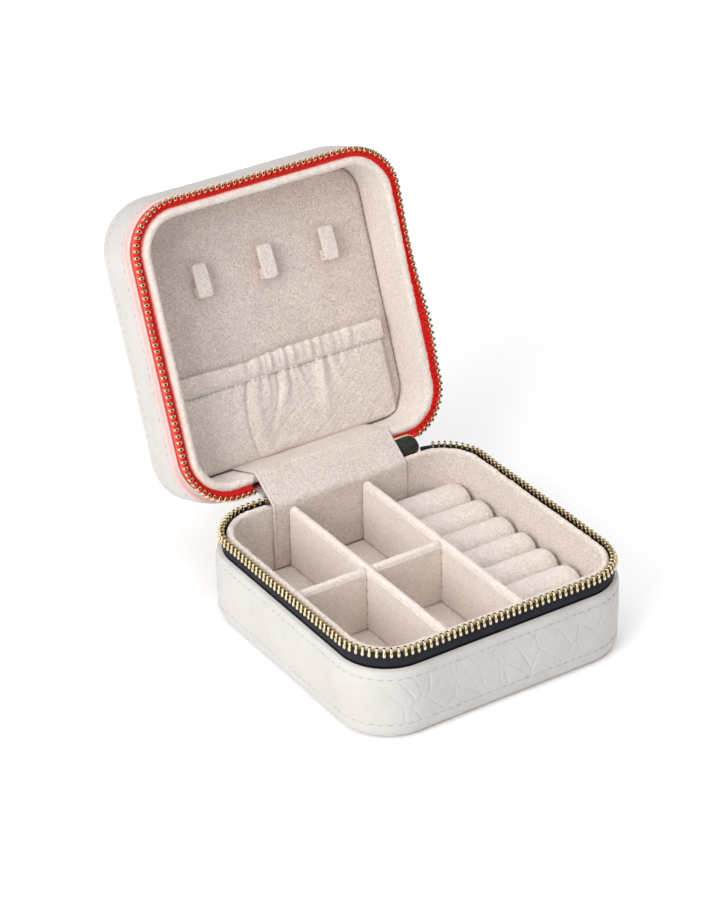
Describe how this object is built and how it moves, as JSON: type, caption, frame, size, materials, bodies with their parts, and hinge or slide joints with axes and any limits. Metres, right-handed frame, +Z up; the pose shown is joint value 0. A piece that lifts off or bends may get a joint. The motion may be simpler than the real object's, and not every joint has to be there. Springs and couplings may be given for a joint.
{
  "type": "jewellery box",
  "caption": "Zip-around travel jewellery box with a hinged lid, divided tray, ring rolls, necklace hooks and a gathered lid pocket.",
  "frame": {"origin": "centre of the base's flat underside, on the surface it stands on", "axes": "+X to the right-hand side, +Y towards the hinge, +Z up"},
  "size_m": [0.102, 0.1615, 0.1266],
  "materials": {
    "white_leather": "satin, pressed grain",
    "board": "matt",
    "suede": "short-napped microsuede",
    "suede_roll": "short-napped microsuede over foam",
    "navy_tape": "herringbone weave",
    "red_tape": "herringbone weave",
    "brass": "polished",
    "elastic": "woven",
    "black_lacquer": "gloss",
    "black_leather": "satin"
  },
  "bodies": {
    "base": {"base_leather_band": "white_leather", "base_leather_bottom": "white_leather", "base_core_board": "board", "base_core_frame": "board", "base_lining_wall": "suede", "base_zip_tape": "navy_tape", "base_zip_teeth": "brass", "tray_floor_pad": "suede", "long_divider_left": "suede", "long_divider_right": "suede", "cross_divider_left": "suede", "cross_divider_middle": "suede", "ring_roll_1": "suede_roll", "ring_roll_2": "suede_roll", "ring_roll_3": "suede_roll", "ring_roll_4": "suede_roll", "ring_roll_5": "suede_roll", "ring_roll_6": "suede_roll", "ring_roll_7": "suede_roll", "hinge_ribbon": "suede", "hinge_spine": "white_leather"},
    "lid": {"lid_leather_band": "white_leather", "lid_leather_top": "white_leather", "lid_core_board": "board", "lid_core_frame": "board", "lid_lining_wall": "suede", "lid_zip_tape": "red_tape", "lid_zip_teeth": "brass", "lid_back_pad": "suede", "hook_left": "suede", "hook_middle": "suede", "hook_right": "suede", "pocket_front": "suede", "pocket_hem": "suede", "pocket_elastic": "elastic"},
    "zip_slider": {"zip_slider_body": "black_lacquer", "zip_slider_crown": "brass"},
    "pull_link": {"pull_link": "brass"},
    "pull_tab": {"pull_tab": "black_leather"}
  },
  "joints": [
    {"name": "lid_hinge", "type": "hinge", "parent": "base", "child": "lid", "pos_m": [0, 0.0518, 0.03095], "axis": [1, 0, 0], "range_deg": [0, 110.7], "deforming": ["hinge_ribbon", "hinge_spine"]},
    {"name": "slider_tilt", "type": "hinge", "parent": "base", "child": "zip_slider", "pos_m": [0, 0.0518, 0.03095], "axis": [1, 0, 0], "range_deg": [0, 55.35]},
    {"name": "pull_link_hang", "type": "hinge", "parent": "zip_slider", "child": "pull_link", "pos_m": [0.03065, 0.05308, 0.0291], "axis": [1, 0, 0], "range_deg": [-55.35, 0]},
    {"name": "pull_tab_swing", "type": "hinge", "parent": "pull_link", "child": "pull_tab", "pos_m": [0.03065, 0.05308, 0.0223], "axis": [1, 0, 0], "range_deg": [0, 80]}
  ],
  "couplings": [
    {"joint": "slider_tilt", "follows": "lid_hinge", "ratio": 0.5},
    {"joint": "pull_link_hang", "follows": "lid_hinge", "ratio": -0.5}
  ]
}
